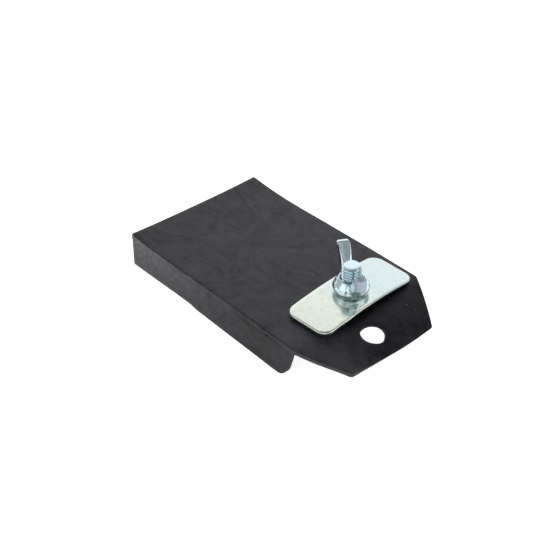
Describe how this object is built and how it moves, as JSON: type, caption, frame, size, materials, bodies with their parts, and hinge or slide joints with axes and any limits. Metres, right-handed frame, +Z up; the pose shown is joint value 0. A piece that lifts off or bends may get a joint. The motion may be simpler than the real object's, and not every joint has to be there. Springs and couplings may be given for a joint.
{
  "type": "rubber hood with wing nut clamp",
  "caption": "Black rubber hood with a skirt and a drooping tab, held by an arched steel clamp plate, a carriage bolt and a wing nut.",
  "frame": {"origin": "middle of the footprint, on the surface that the skirt stands on", "axes": "+X along the hood towards its tab, +Y across it towards the side that the bolt is set to, +Z up"},
  "size_m": [0.15, 0.085, 0.0422],
  "materials": {
    "rubber_top": "matt black rubber, faintly mottled",
    "rubber_skirt": "matt black rubber, cut face",
    "zinc_plate": "bright zinc plating, glossy, with a faint yellow and blue tint",
    "zinc_fastener": "bright zinc plating on a forged surface"
  },
  "bodies": {
    "hood": {"top_sheet": "rubber_top", "left_side_strip": "rubber_skirt", "right_side_strip": "rubber_skirt", "back_strip": "rubber_skirt"},
    "plate": {"clamp_plate": "zinc_plate"},
    "bolt": {"carriage_bolt": "zinc_fastener", "backing_washer": "zinc_fastener"},
    "nut": {"wing_nut": "zinc_fastener"}
  },
  "joints": [
    {"name": "clamp_swivel", "type": "hinge", "parent": "hood", "child": "plate", "pos_m": [0.0395, 0.0055, 0.018], "axis": [0, 0, 1], "range_deg": [-90, 90]},
    {"name": "wing_nut_turn", "type": "hinge", "parent": "plate", "child": "nut", "pos_m": [0.0395, 0.0055, 0.0222], "axis": [0, 0, 1], "range_deg": [0, 1440]},
    {"name": "bolt_drop", "type": "slide", "parent": "plate", "child": "bolt", "axis": [0, 0, -1], "range_m": [0, 0.0061]}
  ],
  "couplings": [
    {"joint": "bolt_drop", "follows": "wing_nut_turn", "m_per_rad": 0.00023873}
  ]
}
